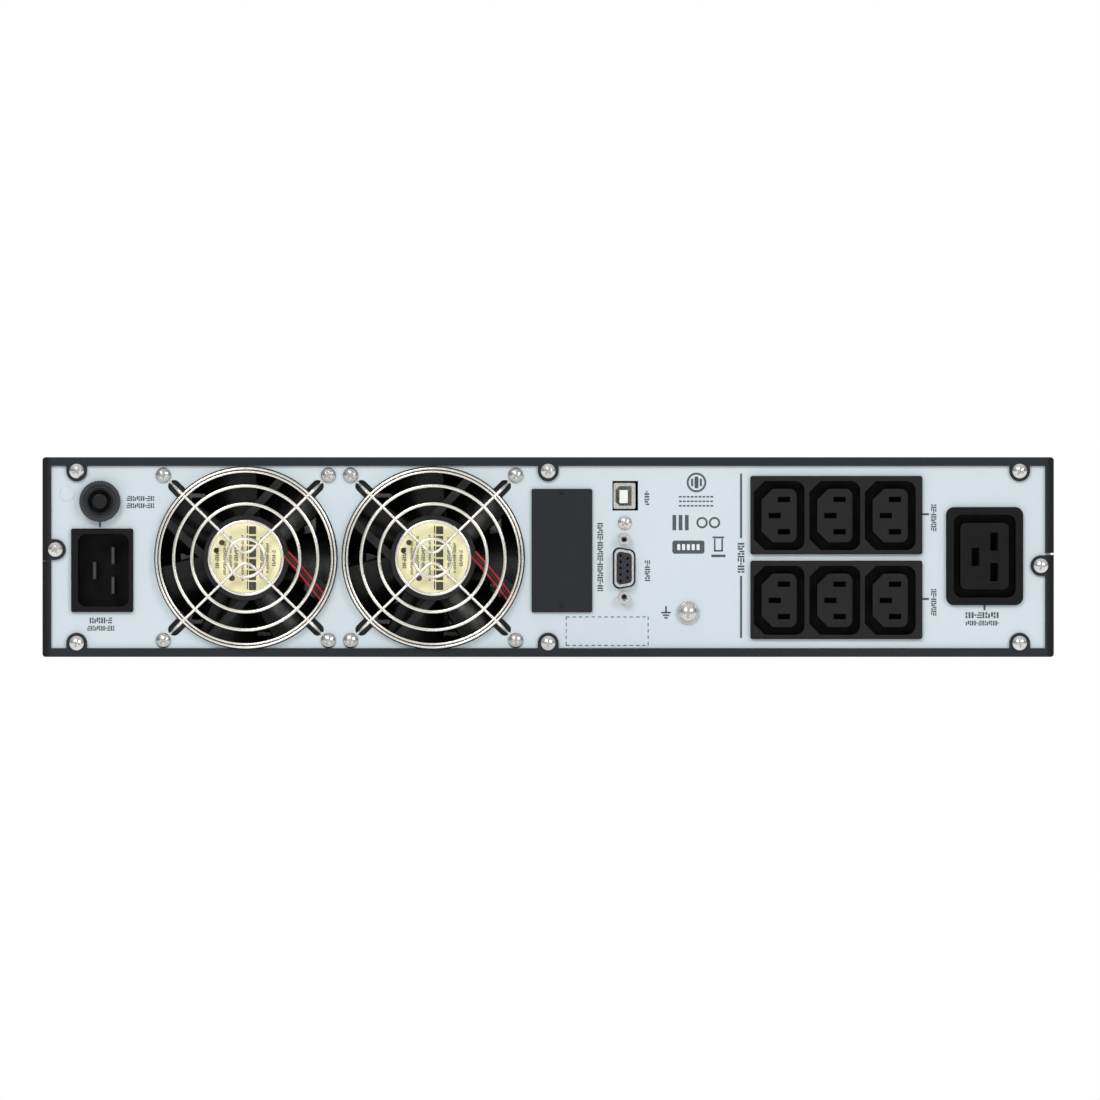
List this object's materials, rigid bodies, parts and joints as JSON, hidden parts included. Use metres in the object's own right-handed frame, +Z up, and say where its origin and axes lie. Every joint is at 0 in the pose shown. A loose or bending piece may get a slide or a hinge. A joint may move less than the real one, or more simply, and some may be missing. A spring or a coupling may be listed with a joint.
{
  "type": "rackmount ups",
  "caption": "Low rack or tower uninterruptible power supply, with fans, mains outlets and data ports behind, and a battery drawer with a turning display in front.",
  "frame": {"origin": "on the supporting plane, under the middle of the case", "axes": "+Z up, the connector panel faces -Y, the display and battery drawer face +Y, +X to the right for someone facing the connectors"},
  "size_m": [0.438, 0.6074, 0.0865],
  "materials": {
    "case_paint": "satin",
    "panel_paint": "satin",
    "bright_screw": "satin",
    "black_screw": "satin",
    "guard_wire": "satin",
    "socket_plastic": "satin",
    "socket_black": "satin",
    "breaker_plastic": "satin",
    "pin_metal": "satin",
    "contact_metal": "satin",
    "fan_plastic": "satin",
    "rotor_plastic": "satin",
    "copper_winding": "satin",
    "lead_insulation": "satin",
    "cover_paint": "satin",
    "sheet_steel": "satin",
    "port_shell": "satin",
    "port_insert": "satin",
    "serial_plastic": "satin",
    "circuit_board": "satin",
    "sink_aluminium": "satin",
    "epoxy_black": "satin",
    "capacitor_sleeve": "satin",
    "ferrite": "matte",
    "front_plastic": "satin",
    "display_plastic": "gloss",
    "window_glass": "gloss",
    "lcd_glass": "gloss",
    "button_rubber": "matte",
    "battery_case": "satin",
    "plug_plastic": "satin"
  },
  "bodies": {
    "chassis": {"chassis_tray": "case_paint", "top_cover": "case_paint", "rear_panel": "panel_paint", "case_screws": "bright_screw", "side_screws": "black_screw", "inlet_socket": "socket_black", "inlet_pins": "pin_metal", "breaker_body": "breaker_plastic", "breaker_nut": "breaker_plastic", "fan_frame_left": "fan_plastic", "fan_frame_right": "fan_plastic", "fan_guard_left": "guard_wire", "fan_guard_right": "guard_wire", "fan_stators": "copper_winding", "fan_screws": "bright_screw", "fan_leads": "lead_insulation", "slot_cover": "cover_paint", "slot_screws": "black_screw", "card_cage": "sheet_steel", "usb_shell": "port_shell", "usb_insert": "port_insert", "port_screw": "bright_screw", "serial_shell": "port_shell", "serial_insert": "serial_plastic", "serial_jack_nuts": "port_shell", "port_board": "circuit_board", "ground_screw": "bright_screw", "outlet_block_upper": "socket_plastic", "outlet_block_lower": "socket_plastic", "outlet_contacts": "contact_metal", "high_current_outlet": "socket_black", "high_current_contacts": "contact_metal", "main_board": "circuit_board", "board_standoffs": "pin_metal", "heat_sinks": "sink_aluminium", "power_transistors": "epoxy_black", "bus_capacitors": "capacitor_sleeve", "choke_cores": "ferrite", "choke_windings": "copper_winding", "transformer": "ferrite", "mains_wiring": "epoxy_black", "battery_socket": "plug_plastic", "battery_guides": "sheet_steel", "front_bulkhead": "sheet_steel", "front_bezel": "front_plastic"},
    "fan_left": {"fan_rotor_left": "rotor_plastic"},
    "fan_right": {"fan_rotor_right": "rotor_plastic"},
    "breaker": {"breaker_button": "breaker_plastic"},
    "display": {"display_housing": "display_plastic", "display_window": "window_glass", "display_board": "circuit_board", "lcd_panel": "lcd_glass"},
    "key_escape": {"button_escape": "button_rubber"},
    "key_up": {"button_up": "button_rubber"},
    "key_down": {"button_down": "button_rubber"},
    "key_enter": {"button_enter": "button_rubber"},
    "battery_drawer": {"battery_tray": "sheet_steel", "battery_blocks": "battery_case", "battery_plug": "plug_plastic", "battery_door": "front_plastic"}
  },
  "joints": [
    {"name": "fan_left_spin", "type": "hinge", "parent": "chassis", "child": "fan_left", "pos_m": [-0.1309, -0.285, 0.0429], "axis": [0, 1, 0], "continuous": true},
    {"name": "fan_right_spin", "type": "hinge", "parent": "chassis", "child": "fan_right", "pos_m": [-0.0498, -0.285, 0.0429], "axis": [0, 1, 0], "continuous": true},
    {"name": "breaker_trip", "type": "slide", "parent": "chassis", "child": "breaker", "axis": [0, -1, 0], "range_m": [0, 0.0042]},
    {"name": "display_turn", "type": "hinge", "parent": "chassis", "child": "display", "pos_m": [0.154, 0.29, 0.04325], "axis": [0, 1, 0], "range_deg": [0, 90]},
    {"name": "battery_drawer_slide", "type": "slide", "parent": "chassis", "child": "battery_drawer", "axis": [0, 1, 0], "range_m": [0, 0.3]},
    {"name": "press_escape", "type": "slide", "parent": "display", "child": "key_escape", "axis": [0, -1, 0], "range_m": [0, 0.0008], "stiffness_N_per_m": 400},
    {"name": "press_up", "type": "slide", "parent": "display", "child": "key_up", "axis": [0, -1, 0], "range_m": [0, 0.0008], "stiffness_N_per_m": 400},
    {"name": "press_down", "type": "slide", "parent": "display", "child": "key_down", "axis": [0, -1, 0], "range_m": [0, 0.0008], "stiffness_N_per_m": 400},
    {"name": "press_enter", "type": "slide", "parent": "display", "child": "key_enter", "axis": [0, -1, 0], "range_m": [0, 0.0008], "stiffness_N_per_m": 400}
  ]
}
